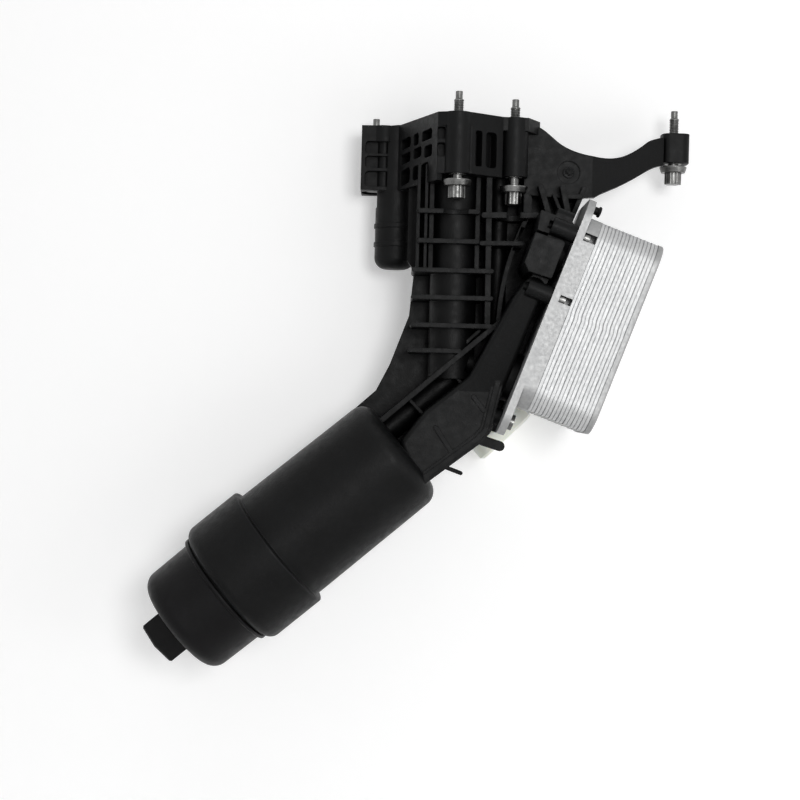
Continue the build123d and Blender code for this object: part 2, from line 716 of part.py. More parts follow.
# Screw cap: flange, domed body with its hexagon, and the skirt that carries the thread
GROOVE_START = CAP_SEAT - O_RING_FROM_FLANGE - O_RING_THICK
GROOVE_R = SKIRT_R - O_RING_THICK + 0.9
CAP_INSIDE_R = CAP_R - CAP_WALL
with BuildPart() as filter_cap:
    revolve_profile(
        [
            (0, SKIRT_END),
            (SKIRT_R, SKIRT_END),
            (SKIRT_R, CAP_SEAT),
            (CAP_FLANGE_R, CAP_SEAT),
            (CAP_FLANGE_R, CAP_SEAT + CAP_FLANGE_THICK),
            (CAP_R, CAP_SEAT + CAP_FLANGE_THICK),
            (CAP_R - 0.6, CAP_FACE),
            (0, CAP_FACE),
        ],
        [0.8, 0.2, 0.8, 0.8, 1.0, CAP_ROUND],
    )
    with BuildSketch(across_filter(CAP_FACE - 1)):
        RegularPolygon(HEX_FLATS / 2, 6, major_radius=False, rotation=0)
    extrude(amount=HEX_HEIGHT + 1)
    hex_top = filter_cap.faces().sort_by(FILTER_AXIS)[-1]
    chamfer(hex_top.edges(), length=1.2)
    revolve_profile(
        [
            (0, SKIRT_END - 1),
            (CAP_INSIDE_R, SKIRT_END - 1),
            (CAP_INSIDE_R, CAP_FACE - CAP_WALL),
            (HEX_FLATS / 2 - CAP_WALL, CAP_FACE - CAP_WALL),
            (HEX_FLATS / 2 - CAP_WALL, CAP_FACE + HEX_HEIGHT - 2 * CAP_WALL),
            (0, CAP_FACE + HEX_HEIGHT - 2 * CAP_WALL),
        ],
        [0.3, CAP_ROUND - CAP_WALL, 1.0, 2.0],
        mode=Mode.SUBTRACT,
    )
    # O-ring groove
    with BuildSketch(FILTER_SECTION) as groove:
        with Locations(((GROOVE_R + SKIRT_R + 1) / 2, GROOVE_START + O_RING_THICK / 2)):
            Rectangle(SKIRT_R + 1 - GROOVE_R, O_RING_THICK + 0.8)
    revolve(groove.sketch, axis=FILTER_AXIS, mode=Mode.SUBTRACT)
save(filter_cap.part, "filter_cap")

with BuildPart() as cap_o_ring:
    mid = (GROOVE_R + 0.1 + COLLAR_BORE_R - 0.1) / 2
    with BuildSketch(FILTER_SECTION) as section:
        with Locations((mid, GROOVE_START + O_RING_THICK / 2)):
            Ellipse((COLLAR_BORE_R - GROOVE_R) / 2 - 0.1, O_RING_THICK / 2)
    revolve(section.sketch, axis=FILTER_AXIS)
save(cap_o_ring.part, "cap_o_ring")

# Filter element: pleated paper between two end discs, round a perforated tube
ELEMENT_START = BOWL_FLOOR + ELEMENT_FLOOR_GAP
CAP_CEILING = CAP_FACE - CAP_WALL
ELEMENT_END = CAP_CEILING - ELEMENT_CAP_GAP
PLEATS_START = ELEMENT_START + END_DISC_THICK
PLEATS_LENGTH = ELEMENT_END - ELEMENT_START - 2 * END_DISC_THICK
PLEAT_OUTER_R = ELEMENT_R - 0.8
PLEAT_INNER_R = PLEAT_OUTER_R - PLEAT_DEPTH
with BuildPart() as filter_media:
    corners = []
    for i in range(PLEAT_COUNT * 2):
        angle = pi * i / PLEAT_COUNT
        r = PLEAT_OUTER_R if i % 2 else PLEAT_INNER_R + 1.2
        corners.append((r * cos(angle), r * sin(angle)))
    with BuildSketch(across_filter(PLEATS_START)):
        with BuildLine():
            Polyline(*corners, close=True)
        make_face()
        Circle(PLEAT_INNER_R, mode=Mode.SUBTRACT)
    extrude(amount=PLEATS_LENGTH)
save(filter_media.part, "filter_media")

for name, start, hole in (
    ("inner_end_disc", ELEMENT_START, STANDPIPE_R + STANDPIPE_GAP),
    ("outer_end_disc", ELEMENT_END - END_DISC_THICK, VALVE_R + STANDPIPE_GAP),
):
    with BuildPart() as disc:
        turned(
            [
                (hole, start),
                (ELEMENT_R, start),
                (ELEMENT_R, start + END_DISC_THICK),
                (hole, start + END_DISC_THICK),
            ]
        )
        if name == "outer_end_disc":
            with BuildSketch(across_filter(ELEMENT_END)) as pads:
                with PolarLocations(DISC_PAD_PITCH_R, 4):
                    Circle(DISC_PAD_R)
            extrude(pads.sketch, amount=ELEMENT_CAP_GAP - SEAL_GAP)
    save(disc.part, name)

with BuildPart() as centre_tube:
    with BuildSketch(across_filter(PLEATS_START)):
        Circle(CENTRE_TUBE_R)
        Circle(CENTRE_TUBE_R - CENTRE_TUBE_WALL, mode=Mode.SUBTRACT)
    extrude(amount=PLEATS_LENGTH)
    slot_rows = 5
    row_pitch = PLEATS_LENGTH / slot_rows
    for row in range(slot_rows):
        level = across_filter(PLEATS_START + row_pitch * (row + 0.5))
        for turn in range(3):
            side = Plane(level.origin, x_dir=FILTER_DIR, z_dir=level.x_dir.rotate(FILTER_AXIS, 60 * turn + 30 * (row % 2)))
            with BuildSketch(side) as slot:
                SlotOverall(row_pitch - 6, 6)
            extrude(slot.sketch, amount=CENTRE_TUBE_R + 1, both=True, mode=Mode.SUBTRACT)
save(centre_tube.part, "centre_tube")

# Standpipe with the bypass valve on its free end
PIPE_START = BOWL_FLOOR + SEAL_GAP
VALVE_END = ELEMENT_END + VALVE_PROUD
VALVE_START = VALVE_END - VALVE_LENGTH
PIPE_END = VALVE_START - SEAL_BED
WINDOW_PITCH = (PIPE_END - ELEMENT_START - END_DISC_THICK - PIPE_WINDOW[0]) / PIPE_WINDOW_ROWS
with BuildPart() as standpipe:
    turned(
        [
            (STANDPIPE_R - STANDPIPE_WALL, PIPE_START),
            (STANDPIPE_R, PIPE_START),
            (STANDPIPE_R, PIPE_END),
            (STANDPIPE_R - STANDPIPE_WALL, PIPE_END),
        ]
    )
    for row in range(PIPE_WINDOW_ROWS):
        level = across_filter(ELEMENT_START + END_DISC_THICK + PIPE_WINDOW[0] + WINDOW_PITCH * row)
        for turn in range(2):
            side = Plane(level.origin, x_dir=FILTER_DIR, z_dir=level.x_dir.rotate(FILTER_AXIS, 90 * turn + 45 * (row % 2)))
            with BuildSketch(side) as window:
                SlotOverall(*PIPE_WINDOW)
            extrude(window.sketch, amount=STANDPIPE_R + 1, both=True, mode=Mode.SUBTRACT)
save(standpipe.part, "standpipe")

CAGE_WALL = 1.8
CAGE_R = VALVE_R - CAGE_WALL
SPRING_SEAT_R = VALVE_SEAT_R - 1
with BuildPart() as bypass_cage:
    turned(
        [
            (SPRING_SEAT_R, VALVE_START),
            (VALVE_R, VALVE_START),
            (VALVE_R, VALVE_END),
            (VALVE_SEAT_R, VALVE_END),
            (VALVE_SEAT_R, VALVE_END - CAGE_WALL),
            (CAGE_R, VALVE_END - CAGE_WALL),
            (CAGE_R, VALVE_START + CAGE_WALL),
            (SPRING_SEAT_R, VALVE_START + CAGE_WALL),
        ],
        0.2,
    )
    level = across_filter(VALVE_START + CAGE_WALL + CAGE_WINDOW[0] / 2 + 2)
    for turn in range(3):
        side = Plane(level.origin, x_dir=FILTER_DIR, z_dir=level.x_dir.rotate(FILTER_AXIS, 60 * turn))
        with BuildSketch(side) as window:
            SlotOverall(*CAGE_WINDOW)
        extrude(window.sketch, amount=VALVE_R + 1, both=True, mode=Mode.SUBTRACT)
save(bypass_cage.part, "bypass_cage")

# The plunger closes the cage's outer mouth, and oil pressure round the element lifts it inwards
PLUNGER_END = VALVE_END - CAGE_WALL - SEAL_BED
with BuildPart() as bypass_plunger:
    revolve_profile(
        [
            (0, PLUNGER_END),
            (PLUNGER_R, PLUNGER_END),
            (PLUNGER_R, PLUNGER_END - PLUNGER_HEIGHT),
            (PLUNGER_R - PLUNGER_WALL, PLUNGER_END - PLUNGER_HEIGHT),
            (PLUNGER_R - PLUNGER_WALL, PLUNGER_END - PLUNGER_WALL),
            (0, PLUNGER_END - PLUNGER_WALL),
        ],
        0.2,
    )
save(bypass_plunger.part, "bypass_plunger")

SPRING_START = VALVE_START + CAGE_WALL + SEAL_BED
SPRING_END = PLUNGER_END - PLUNGER_WALL - SEAL_BED
SPRING_R = PLUNGER_R - PLUNGER_WALL - VALVE_WIRE / 2 - 0.4
with BuildPart() as bypass_spring:
    pitch = (SPRING_END - SPRING_START - VALVE_WIRE) / SPRING_COILS
    start = across_filter(SPRING_START + VALVE_WIRE / 2)
    helix = Helix(
        pitch=pitch,
        height=pitch * SPRING_COILS,
        radius=SPRING_R,
        center=tuple(start.origin),
        direction=FILTER_DIR,
        mode=Mode.PRIVATE,
    )
    with BuildSketch(Plane(origin=helix @ 0, z_dir=helix % 0)):
        Circle(VALVE_WIRE / 2)
    sweep(path=helix, is_frenet=True)
save(bypass_spring.part, "bypass_spring")

# Compression sleeves and captive bolts
for i, ((x, y), depth) in enumerate(zip(BOLTS, BOSS_DEPTHS), 1):
    with BuildPart() as sleeve:
        with BuildSketch(Plane.XY.offset(SLEEVE_PROUD)):
            with Locations((x, y)):
                Circle(SLEEVE_R - 0.02)
                Circle(SHANK_R + BOLT_CLEARANCE, mode=Mode.SUBTRACT)
        extrude(amount=-depth - 2 * SLEEVE_PROUD)
    save(sleeve.part, f"sleeve_{i}")

BOLT_LENGTHS = (LONG_BOLT, LONG_BOLT, SHORT_BOLT, SHORT_BOLT)
for i, ((x, y), depth, length, gap) in enumerate(zip(BOLTS, BOSS_DEPTHS, BOLT_LENGTHS, BOLT_STAND_OFFS), 1):
    seat = -depth - SLEEVE_PROUD - gap
    tip = seat - BOLT_FLANGE - BOLT_HEAD + length
    with BuildPart() as bolt:
        with BuildSketch(Plane(origin=(x, y, 0), x_dir=(1, 0, 0), z_dir=(0, -1, 0))):
            with BuildLine():
                FilletPolyline(
                    (0, seat - BOLT_FLANGE),
                    (BOLT_FLANGE_R - 1.0, seat - BOLT_FLANGE),
                    (BOLT_FLANGE_R, seat - 0.6),
                    (BOLT_FLANGE_R, seat),
                    (SHANK_R, seat),
                    (SHANK_R, tip - THREAD_LENGTH),
                    (BOLT_R - 0.02, tip - THREAD_LENGTH),
                    (BOLT_R - 0.02, tip - DOG_LENGTH - 1),
                    (DOG_R, tip - DOG_LENGTH),
                    (DOG_R, tip),
                    (0, tip),
                    radius=0.15,
                )
                Line((0, tip), (0, seat - BOLT_FLANGE))
            make_face()
        revolve(axis=Axis((x, y, 0), (0, 0, 1)))
        with BuildSketch(Plane.XY.offset(seat - BOLT_FLANGE)):
            with Locations((x, y)):
                Circle(BOLT_HEAD_R * 0.86)
                with PolarLocations(BOLT_HEAD_R * 0.74, 6):
                    Circle(BOLT_HEAD_R * 0.26)
        extrude(amount=-BOLT_HEAD)
    save(bolt.part, f"bolt_{i}")

# Cooler: base plate, notched band, pairs of plates and the cover
with BuildPart() as cooler_base:
    with BuildSketch(COOLER):
        RectangleRounded(BASE_LENGTH, COOLER_WIDTH, BASE_CORNER)
        with Locations((COOLER_PORT_PITCH / 2, 0), (-COOLER_PORT_PITCH / 2, 0)):
            Circle(COOLER_PORT_R, mode=Mode.SUBTRACT)
        with Locations(*SCREW_PLACES):
            Circle(SCREW_R + SCREW_CLEARANCE, mode=Mode.SUBTRACT)
    extrude(amount=BASE_THICK)
save(cooler_base.part, "cooler_base")

with BuildPart() as cooler_band:
    with BuildSketch(COOLER.offset(BASE_THICK)):
        with Locations((PLATE_SHIFT, 0)):
            RectangleRounded(PLATE_LENGTH, COOLER_WIDTH, PLATE_CORNER)
        with Locations((COOLER_PORT_PITCH / 2, 0), (-COOLER_PORT_PITCH / 2, 0)):
            Circle(COOLER_PORT_R, mode=Mode.SUBTRACT)
        with Locations(*SCREW_PLACES):
            Circle(SCREW_HEAD_R + SCREW_NOTCH, mode=Mode.SUBTRACT)
    extrude(amount=BAND_THICK)
save(cooler_band.part, "cooler_band")

for pair in range(PLATE_PAIRS):
    foot = BASE_THICK + BAND_THICK + pair * PAIR_PITCH
    with BuildPart() as tray:
        with BuildSketch(COOLER.offset(foot)):
            with Locations((PLATE_SHIFT, 0)):
                RectangleRounded(PLATE_LENGTH - 1.2, COOLER_WIDTH - 1.2, PLATE_CORNER)
        extrude(amount=PAIR_PITCH - LIP_THICK, taper=-4)
        with BuildSketch(COOLER.offset(foot + TRAY_FLOOR)):
            with Locations((PLATE_SHIFT, 0)):
                RectangleRounded(PLATE_LENGTH - 2 * TRAY_RIM, COOLER_WIDTH - 2 * TRAY_RIM, PLATE_CORNER - TRAY_RIM)
        extrude(amount=PAIR_PITCH, mode=Mode.SUBTRACT)
    save(tray.part, f"oil_plate_{pair + 1}")
    with BuildPart() as lip:
        with BuildSketch(COOLER.offset(foot + PAIR_PITCH - LIP_THICK)):
            with Locations((PLATE_SHIFT, 0)):
                RectangleRounded(PLATE_LENGTH - 2.4, COOLER_WIDTH - 2.4, PLATE_CORNER)
        extrude(amount=LIP_THICK, taper=-4)
    save(lip.part, f"water_plate_{pair + 1}")

with BuildPart() as cooler_cover:
    with BuildSketch(COOLER.offset(BASE_THICK + BAND_THICK + PLATE_PAIRS * PAIR_PITCH)):
        with Locations((PLATE_SHIFT, 0)):
            RectangleRounded(PLATE_LENGTH, COOLER_WIDTH, PLATE_CORNER)
    extrude(amount=COVER_THICK)
    outer_face = cooler_cover.faces().sort_by(Axis(COOLER.origin, COOLER.z_dir))[-1]
    fillet(outer_face.edges(), radius=1.2)
save(cooler_cover.part, "cooler_cover")

with BuildPart() as cooler_screws:
    for x, y in SCREW_PLACES:
        with BuildSketch(COOLER.offset(BASE_THICK)) as head:
            with Locations((x, y)):
                Circle(SCREW_HEAD_R)
        extrude(head.sketch, amount=SCREW_HEAD)
        with BuildSketch(COOLER.offset(BASE_THICK)) as stem:
            with Locations((x, y)):
                Circle(SCREW_R)
        extrude(stem.sketch, amount=-SCREW_LENGTH)
save(cooler_screws.part, "cooler_screws")

# Seals: one ring at each cooler port, and one at each port of the mounting face
for name, x in (("upper_cooler_seal", COOLER_PORT_PITCH / 2), ("lower_cooler_seal", -COOLER_PORT_PITCH / 2)):
    with BuildPart() as cooler_seal:
        with BuildSketch(COOLER):
            with Locations((x, 0)):
                Circle(COOLER_PORT_R + SEAL_LAND + SEAL_WIDTH)
                Circle(COOLER_PORT_R + SEAL_LAND, mode=Mode.SUBTRACT)
        extrude(amount=-SEAL_DEPTH + SEAL_BED)
    save(cooler_seal.part, name)

for name, centre, r in (
    ("main_port_seal", MAIN_DUCT, MAIN_PORT_R),
    ("side_port_seal", SIDE_DUCT, SIDE_PORT_R),
    ("coolant_port_seal", COOLANT_PORT, COOLANT_PORT_R),
):
    with BuildPart() as port_seal:
        with BuildSketch(Plane.XY.offset(SEAL_PROUD)):
            with Locations(centre):
                Circle(r + SEAL_LAND + SEAL_WIDTH)
                Circle(r + SEAL_LAND, mode=Mode.SUBTRACT)
        extrude(amount=-SEAL_DEPTH - SEAL_PROUD + SEAL_BED)
    save(port_seal.part, name)

# Rubber flap over the bowl's inlet, and the transport plug
with BuildPart() as anti_drain_flap:
    with BuildSketch(across_filter(BOWL_FLOOR + SEAL_BED)):
        Circle(BOWL_BORE_R - 5)
        Circle(STANDPIPE_R + STANDPIPE_GAP, mode=Mode.SUBTRACT)
    extrude(amount=FLAP_THICK)
save(anti_drain_flap.part, "anti_drain_flap")

with BuildPart() as port_plug:
    with BuildSketch(PLUG_PLANE):
        RectangleRounded(*PLUG_SIZE, 10)
    extrude(amount=-PLUG_HEIGHT)
    chamfer(port_plug.faces().sort_by(Axis(PLUG_CENTRE, PLUG_PLANE.z_dir))[-1].edges(), length=1.5)
    with BuildSketch(PLUG_PLANE.offset(-PLUG_HEIGHT)):
        RectangleRounded(*(size - 2 * PLUG_WALL for size in PLUG_SIZE), 8)
    extrude(amount=PLUG_HEIGHT - PLUG_WALL, mode=Mode.SUBTRACT)
save(port_plug.part, "port_plug")
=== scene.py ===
"""Finish, light and camera for the oil filter housing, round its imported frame. Metres."""
import json
import math

import bmesh
import bpy
from mathutils import Matrix, Vector
from mathutils.noise import noise as noise_value


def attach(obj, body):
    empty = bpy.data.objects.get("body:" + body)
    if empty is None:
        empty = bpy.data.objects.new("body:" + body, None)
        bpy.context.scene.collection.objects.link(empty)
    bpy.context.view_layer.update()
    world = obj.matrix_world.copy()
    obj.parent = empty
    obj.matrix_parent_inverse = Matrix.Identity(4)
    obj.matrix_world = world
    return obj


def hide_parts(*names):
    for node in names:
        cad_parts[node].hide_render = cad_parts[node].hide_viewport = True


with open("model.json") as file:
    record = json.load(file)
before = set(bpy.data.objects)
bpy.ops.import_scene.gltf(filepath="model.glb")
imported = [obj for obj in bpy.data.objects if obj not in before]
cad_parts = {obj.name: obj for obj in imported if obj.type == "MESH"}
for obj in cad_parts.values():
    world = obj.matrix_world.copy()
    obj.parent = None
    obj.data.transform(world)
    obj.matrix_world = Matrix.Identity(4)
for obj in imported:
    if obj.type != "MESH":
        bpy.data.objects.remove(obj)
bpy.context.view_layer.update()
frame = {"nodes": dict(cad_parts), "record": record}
MM = 0.001

# Camera, at the photograph's viewing angle
CAMERA_PLACE = (-0.0301, -0.940, -0.1695)
CAMERA_ROLL = math.radians(1.5)
CAMERA_LENS = 72.0
SENSOR = 36.0
CLIP_START = 0.01
CLIP_END = 20.0

camera_data = bpy.data.cameras.new("camera")
camera_data.lens = CAMERA_LENS
camera_data.sensor_width = SENSOR
camera_data.clip_start = CLIP_START
camera_data.clip_end = CLIP_END
camera = bpy.data.objects.new("camera", camera_data)
bpy.context.scene.collection.objects.link(camera)
level = Matrix.Rotation(math.radians(90), 4, "X")
camera.matrix_world = Matrix.Translation(CAMERA_PLACE) @ level @ Matrix.Rotation(CAMERA_ROLL, 4, "Z")
bpy.context.scene.camera = camera
bpy.context.scene.view_settings.view_transform = "Standard"


# What the materials share: samples of the rounded edges and crevices, the cosines between which an edge counts as
# lightened by wear and a painted highlight, and the open shares of the surroundings between which the painted
# shade of a crevice fades
SURFACE_SAMPLES = 3
EDGE_COSINES = (0.8, 0.995)
OPEN_SHARES = (0.25, 0.95)
WHITE = (1.0, 1.0, 1.0)


# Helpers for the materials
def new_material(name):
    """A material with its node tree and its main shader."""
    mat = bpy.data.materials.new(name)
    mat.use_nodes = True
    tree = mat.node_tree
    return mat, tree, tree.nodes["Principled BSDF"]


def noise(tree, scale, detail=3.0, roughness=0.5, stretch=(1, 1, 1)):
    """A noise in the object's own coordinates, in cycles per metre."""
    coords = tree.nodes.new("ShaderNodeTexCoord")
    mapping = tree.nodes.new("ShaderNodeMapping")
    mapping.inputs["Scale"].default_value = stretch
    tree.links.new(coords.outputs["Object"], mapping.inputs["Vector"])
    tex = tree.nodes.new("ShaderNodeTexNoise")
    tex.inputs["Scale"].default_value = scale
    tex.inputs["Detail"].default_value = detail
    tex.inputs["Roughness"].default_value = roughness
    tree.links.new(mapping.outputs["Vector"], tex.inputs["Vector"])
    return tex.outputs["Fac"]


def ramp(tree, value, low, high, start=0.3, end=0.7):
    """A colour between two, by a value."""
    node = tree.nodes.new("ShaderNodeValToRGB")
    node.color_ramp.elements[0].position = start
    node.color_ramp.elements[1].position = end
    node.color_ramp.elements[0].color = (*low, 1)
    node.color_ramp.elements[1].color = (*high, 1)
    tree.links.new(value, node.inputs["Fac"])
    return node.outputs["Color"]


def spread(tree, value, low, high, start=0.3, end=0.7):
    """A number between two, by a value."""
    node = tree.nodes.new("ShaderNodeMapRange")
    node.inputs["From Min"].default_value = start
    node.inputs["From Max"].default_value = end
    node.inputs["To Min"].default_value = low
    node.inputs["To Max"].default_value = high
    tree.links.new(value, node.inputs["Value"])
    return node.outputs["Result"]


def blend_colours(tree, factor, a, b, kind="MIX"):
    """Two colours, mixed by a factor that varies over the surface."""
    node = tree.nodes.new("ShaderNodeMix")
    node.data_type = "RGBA"
    node.blend_type = kind
    for value, socket in ((factor, node.inputs[0]), (a, node.inputs[6]), (b, node.inputs[7])):
        if isinstance(value, tuple):
            socket.default_value = (*value, 1)
        elif isinstance(value, float):
            socket.default_value = value
        else:
            tree.links.new(value, socket)
    return node.outputs[2]


def bump(tree, height, distance, strength=1.0, under=None):
    """A bump of a real height in metres, on top of another normal if given."""
    node = tree.nodes.new("ShaderNodeBump")
    node.inputs["Strength"].default_value = strength
    node.inputs["Distance"].default_value = distance
    tree.links.new(height, node.inputs["Height"])
    if under is not None:
        tree.links.new(under, node.inputs["Normal"])
    return node.outputs["Normal"]


def rounded(tree, radius):
    """The surface's normal with its edges rounded to a radius."""
    bevel = tree.nodes.new("ShaderNodeBevel")
    bevel.samples = SURFACE_SAMPLES
    bevel.inputs["Radius"].default_value = radius
    return bevel.outputs["Normal"]


def edge_wear_and_highlight(tree, round_normal):
    """A mask that is 1 where the rounded normal leaves the flat one, which is on the edges, where wear and a
    painted highlight lighten the colour.
    """
    geometry = tree.nodes.new("ShaderNodeNewGeometry")
    dot = tree.nodes.new("ShaderNodeVectorMath")
    dot.operation = "DOT_PRODUCT"
    tree.links.new(round_normal, dot.inputs[0])
    tree.links.new(geometry.outputs["Normal"], dot.inputs[1])
    return spread(tree, dot.outputs["Value"], 1.0, 0.0, *EDGE_COSINES)


def crevice(tree, distance):
    """A value that falls to 0 where nearby surfaces close a corner or a gap."""
    node = tree.nodes.new("ShaderNodeAmbientOcclusion")
    node.samples = SURFACE_SAMPLES
    node.inputs["Distance"].default_value = distance
    return spread(tree, node.outputs["AO"], 0.0, 1.0, *OPEN_SHARES)


def shaded(tree, colour, distance, deepest, start, end):
    """A colour that darkens towards its deepest tint in crevices of a size: painted shade."""
    tint = ramp(tree, crevice(tree, distance), deepest, WHITE, start, end)
    return blend_colours(tree, 1.0, colour, tint, "MULTIPLY")


# Moulded plastic: cycles per metre of each noise, and the height of each relief
MOULD_CLOUDS = 45.0
MOULD_STREAKS = 420.0
STREAK_STRETCH = (1.0, 1.0, 0.25)
STREAK_DARK = (0.86, 0.86, 0.86)
STREAK_LIGHT = (1.12, 1.12, 1.12)
MOULD_SHEEN = 220.0
MOULD_SPECULAR = 0.12
# Patches and gain of the edge lightening, which is partly wear and partly a painted highlight
WEAR_AND_HIGHLIGHT_PATCHES = 160.0
WEAR_AND_HIGHLIGHT_GAIN = 2.2
SINK_WAVES, SINK_HEIGHT = 26.0, 0.6 * MM
PEBBLES, PEBBLE_HEIGHT = 620.0, 0.13 * MM
FINE_GRAIN, FINE_HEIGHT = 1900.0, 0.11 * MM
# Painted shade: the colour darkens by occlusion in recesses within this reach, down to this tint
RECESS_SHADE_REACH = 22.0 * MM
RECESS_SHADE_TINT = (0.35, 0.35, 0.35)
MOULD_EDGE = 0.5 * MM
HOUSING_EDGE = 0.7 * MM


def moulded_plastic(name, dark, light, roughness, grain=1.0, edge=MOULD_EDGE):
    """Matte glass-filled moulding: clouds of fibre, a fine eroded grain, slow sink waves, edges lightened by wear
    and a painted highlight, and painted shade in its recesses.
    """
    mat, tree, bsdf = new_material(name)
    normal = rounded(tree, edge)
    clouds = ramp(tree, noise(tree, MOULD_CLOUDS, 4.0), dark, light)
    streak_noise = noise(tree, MOULD_STREAKS, 3.0, 0.6, STREAK_STRETCH)
    streaks = ramp(tree, streak_noise, STREAK_DARK, STREAK_LIGHT)
    body = blend_colours(tree, 1.0, clouds, streaks, "MULTIPLY")
    # Edge wear and a painted highlight: the edges lighten in random patches towards a lighter copy of the tone
    patchy = tree.nodes.new("ShaderNodeMath")
    patchy.operation = "MULTIPLY"
    tree.links.new(edge_wear_and_highlight(tree, normal), patchy.inputs[0])
    tree.links.new(spread(tree, noise(tree, WEAR_AND_HIGHLIGHT_PATCHES, 2.0), 0.2, 0.9), patchy.inputs[1])
    wear_and_highlight_colour = tuple(c * WEAR_AND_HIGHLIGHT_GAIN for c in light)
    body_with_wear_and_highlight = blend_colours(tree, patchy.outputs[0], body, wear_and_highlight_colour)
    # Painted shade in the recesses, over the colour with its edge wear and painted highlight
    tree.links.new(shaded(tree, body_with_wear_and_highlight, RECESS_SHADE_REACH, RECESS_SHADE_TINT, 0.05, 0.95), bsdf.inputs["Base Color"])
    tree.links.new(spread(tree, noise(tree, MOULD_SHEEN, 3.0), *roughness), bsdf.inputs["Roughness"])
    waves = bump(tree, noise(tree, SINK_WAVES, 1.0), SINK_HEIGHT, 0.4, normal)
    pebbled = bump(tree, noise(tree, PEBBLES, 2.0), PEBBLE_HEIGHT * grain, 0.6, waves)
    fine = bump(tree, noise(tree, FINE_GRAIN, 2.0), FINE_HEIGHT * grain, 0.8, pebbled)
    tree.links.new(fine, bsdf.inputs["Normal"])
    bsdf.inputs["Specular IOR Level"].default_value = MOULD_SPECULAR
    return mat


# Steel: plating tone, grain, rounded edge and the painted shade in its corners
PLATING_CLOUDS = 300.0
METAL_GRAIN = 900.0
METAL_EDGE = 0.25 * MM
CORNER_SHADE_REACH = 1.5 * MM
CORNER_SHADE_TINT = (0.10, 0.10, 0.10)


def metal(name, dark, light, roughness, grain_height):
    """Plated or rolled metal with a fine grain, and painted shade in its corners."""
    mat, tree, bsdf = new_material(name)
    normal = rounded(tree, METAL_EDGE)
    bsdf.inputs["Metallic"].default_value = 1.0
    tone = ramp(tree, noise(tree, PLATING_CLOUDS, 3.0), dark, light)
    # Painted shade: the tone darkens by occlusion in the corners
    tree.links.new(shaded(tree, tone, CORNER_SHADE_REACH, CORNER_SHADE_TINT, 0.1, 0.9), bsdf.inputs["Base Color"])
    tree.links.new(spread(tree, noise(tree, METAL_GRAIN, 3.0, 0.5), *roughness), bsdf.inputs["Roughness"])
    grain = bump(tree, noise(tree, METAL_GRAIN, 3.0, 0.6), grain_height, 0.6, normal)
    tree.links.new(grain, bsdf.inputs["Normal"])
    return mat


# Brazed sheet: half metallic under its flux, with painted shade in its joints and grooves
SHEET_METALLIC = 0.5
SHEET_TONES = 420.0
SHEET_SHEEN = 500.0
FLUX_BLOOM = 70.0
FLUX_LIGHTER = 1.15
GROOVE_SHADE_REACH = 1.4 * MM
GROOVE_SHADE_TINT = (0.34, 0.34, 0.35)
SHEET_ROUGHNESS = (0.44, 0.56)
DENTS, DENT_HEIGHT = 140.0, 0.16 * MM
ROLLING, ROLLING_HEIGHT = 1700.0, 0.02 * MM


def brazed_aluminium(name, dark, light):
    """Brazed sheet: satin, with flux bloom, a fine rolling grain, shallow dents and painted shade in its joints
    and grooves.
    """
    mat, tree, bsdf = new_material(name)
    bsdf.inputs["Metallic"].default_value = SHEET_METALLIC
    tone = ramp(tree, noise(tree, SHEET_TONES, 5.0, 0.65), dark, light)
    flux = spread(tree, noise(tree, FLUX_BLOOM, 3.0), 0.0, 0.4, 0.45, 0.75)
    bloom = blend_colours(tree, flux, tone, tuple(c * FLUX_LIGHTER for c in light))
    # Painted shade: the colour darkens by occlusion in the grooves between the sheets
    tree.links.new(shaded(tree, bloom, GROOVE_SHADE_REACH, GROOVE_SHADE_TINT, 0.0, 0.8), bsdf.inputs["Base Color"])
    tree.links.new(spread(tree, noise(tree, SHEET_SHEEN, 3.0), *SHEET_ROUGHNESS), bsdf.inputs["Roughness"])
    dents = bump(tree, noise(tree, DENTS, 2.0), DENT_HEIGHT, 0.5)
    rolled = bump(tree, noise(tree, ROLLING, 3.0), ROLLING_HEIGHT, 0.7, dents)
    tree.links.new(rolled, bsdf.inputs["Normal"])
    return mat


# Natural plastic: the plug's colour, the painted shade in its crevices and how deep light goes in, in metres for
# red, green and blue
PLUG_CLOUDS = 60.0
PLUG_SHEEN = 400.0
PLUG_GRAIN, PLUG_GRAIN_HEIGHT = 900.0, 0.03 * MM
PLUG_ROUGHNESS = (0.35, 0.5)
PLUG_SUBSURFACE = 0.2
PLUG_DARK = (0.84, 0.86, 0.76)
PLUG_LIGHT = (0.92, 0.93, 0.85)
CREVICE_SHADE_REACH = 2.0 * MM
CREVICE_SHADE_TINT = (0.85, 0.85, 0.80)
PLUG_DEPTH = (0.004, 0.003, 0.002)


def natural_plastic():
    """Unfilled natural-colour plastic, slightly waxy."""
    mat, tree, bsdf = new_material("plug_plastic")
    normal = rounded(tree, MOULD_EDGE)
    tone = ramp(tree, noise(tree, PLUG_CLOUDS, 3.0), PLUG_DARK, PLUG_LIGHT)
    # Painted shade: the tone darkens by occlusion in the crevices
    tree.links.new(shaded(tree, tone, CREVICE_SHADE_REACH, CREVICE_SHADE_TINT, 0.0, 0.8), bsdf.inputs["Base Color"])
    tree.links.new(spread(tree, noise(tree, PLUG_SHEEN), *PLUG_ROUGHNESS), bsdf.inputs["Roughness"])
    bsdf.inputs["Subsurface Weight"].default_value = PLUG_SUBSURFACE
    bsdf.inputs["Subsurface Radius"].default_value = PLUG_DEPTH
    bsdf.inputs["Subsurface Scale"].default_value = 1.0
    tree.links.new(bump(tree, noise(tree, PLUG_GRAIN), PLUG_GRAIN_HEIGHT, 0.5, normal), bsdf.inputs["Normal"])
    return mat


